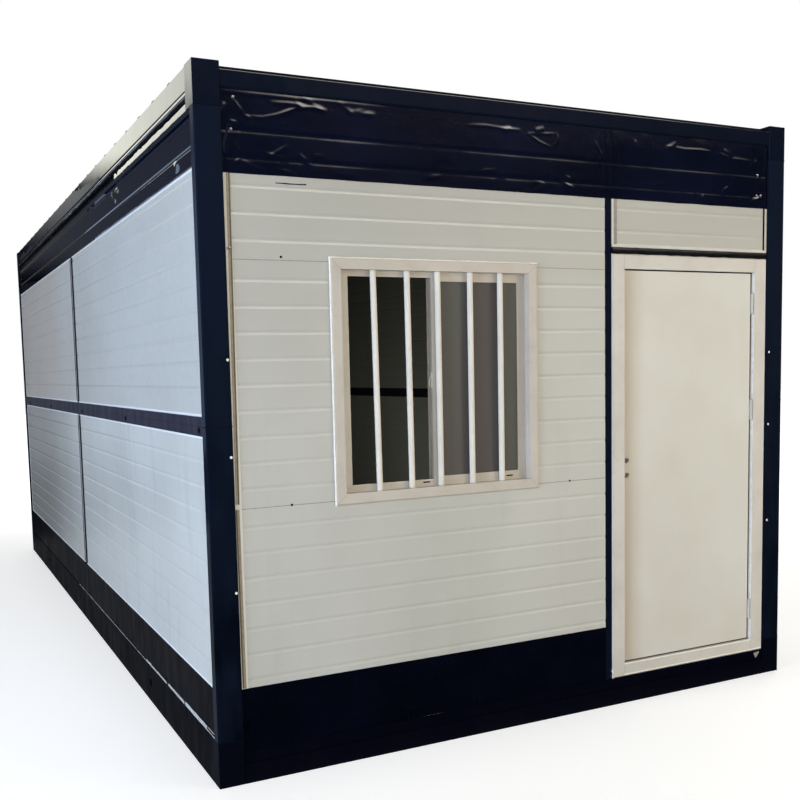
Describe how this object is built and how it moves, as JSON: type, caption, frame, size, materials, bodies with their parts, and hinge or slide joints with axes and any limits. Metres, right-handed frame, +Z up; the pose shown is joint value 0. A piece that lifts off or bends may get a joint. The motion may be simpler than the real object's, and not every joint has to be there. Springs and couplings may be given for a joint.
{
  "type": "security guard booth",
  "caption": "White panel guard booth with a dark blue steel frame, a ribbed roof, a barred sliding window and a hinged door.",
  "frame": {"origin": "centre of the booth's footprint at ground level", "axes": "+Z up, +Y along the length away from the door wall, +X to the right seen from outside the door"},
  "size_m": [3, 6, 2.7695],
  "materials": {
    "navy_paint": "semi-gloss enamel on rolled steel",
    "base_paint": "semi-gloss enamel, dusty near the ground",
    "panel_white": "satin coil coating on ribbed steel skin",
    "navy_film": "gloss vinyl film, a little wrinkled",
    "frame_white": "satin powder coat",
    "door_white": "satin coat with a fine embossed grain",
    "window_glass": "clear glass, dark room behind",
    "roof_steel": "satin coated steel sheet",
    "floor_board": "sealed board",
    "hinge_steel": "plain bright steel"
  },
  "bodies": {
    "booth": {"back_film_bands": "navy_film", "back_left_post": "navy_paint", "back_panels": "panel_white", "back_right_post": "navy_paint", "base_corner_blocks": "base_paint", "base_end_beams": "base_paint", "base_side_beams": "base_paint", "ceiling_panel": "panel_white", "door_frame": "frame_white", "door_mullion": "navy_paint", "floor_deck": "floor_board", "floor_joists": "base_paint", "frame_hinge_knuckles": "hinge_steel", "front_bottom_panel": "panel_white", "front_edge_channels": "panel_white", "front_film_bands": "navy_film", "front_left_post": "navy_paint", "front_middle_left_panel": "panel_white", "front_middle_right_panel": "panel_white", "front_right_post": "navy_paint", "front_top_panel": "panel_white", "left_bottom_rail": "navy_paint", "left_header_film": "navy_film", "left_lower_panels": "panel_white", "left_mid_rails": "navy_paint", "left_sash": "frame_white", "left_upper_panels": "panel_white", "right_bottom_rail": "navy_paint", "right_header_film": "navy_film", "right_lower_panels": "panel_white", "right_mid_rails": "navy_paint", "right_sash": "frame_white", "right_upper_panels": "panel_white", "roof_corner_blocks": "navy_paint", "roof_end_beams": "navy_paint", "roof_sheet": "roof_steel", "roof_side_beams": "navy_paint", "side_middle_stiles": "navy_paint", "transom_panel": "panel_white", "transom_rail": "navy_paint", "window_frame": "frame_white", "window_glass": "window_glass"},
    "door": {"door_leaf": "door_white", "leaf_hinge_knuckles": "hinge_steel", "lock_rings": "hinge_steel"}
  },
  "joints": [
    {"name": "door_swing", "type": "hinge", "parent": "booth", "child": "door", "pos_m": [1.3075, -2.983, 1.115], "axis": [0, 0, 1], "range_deg": [0, 110]}
  ]
}
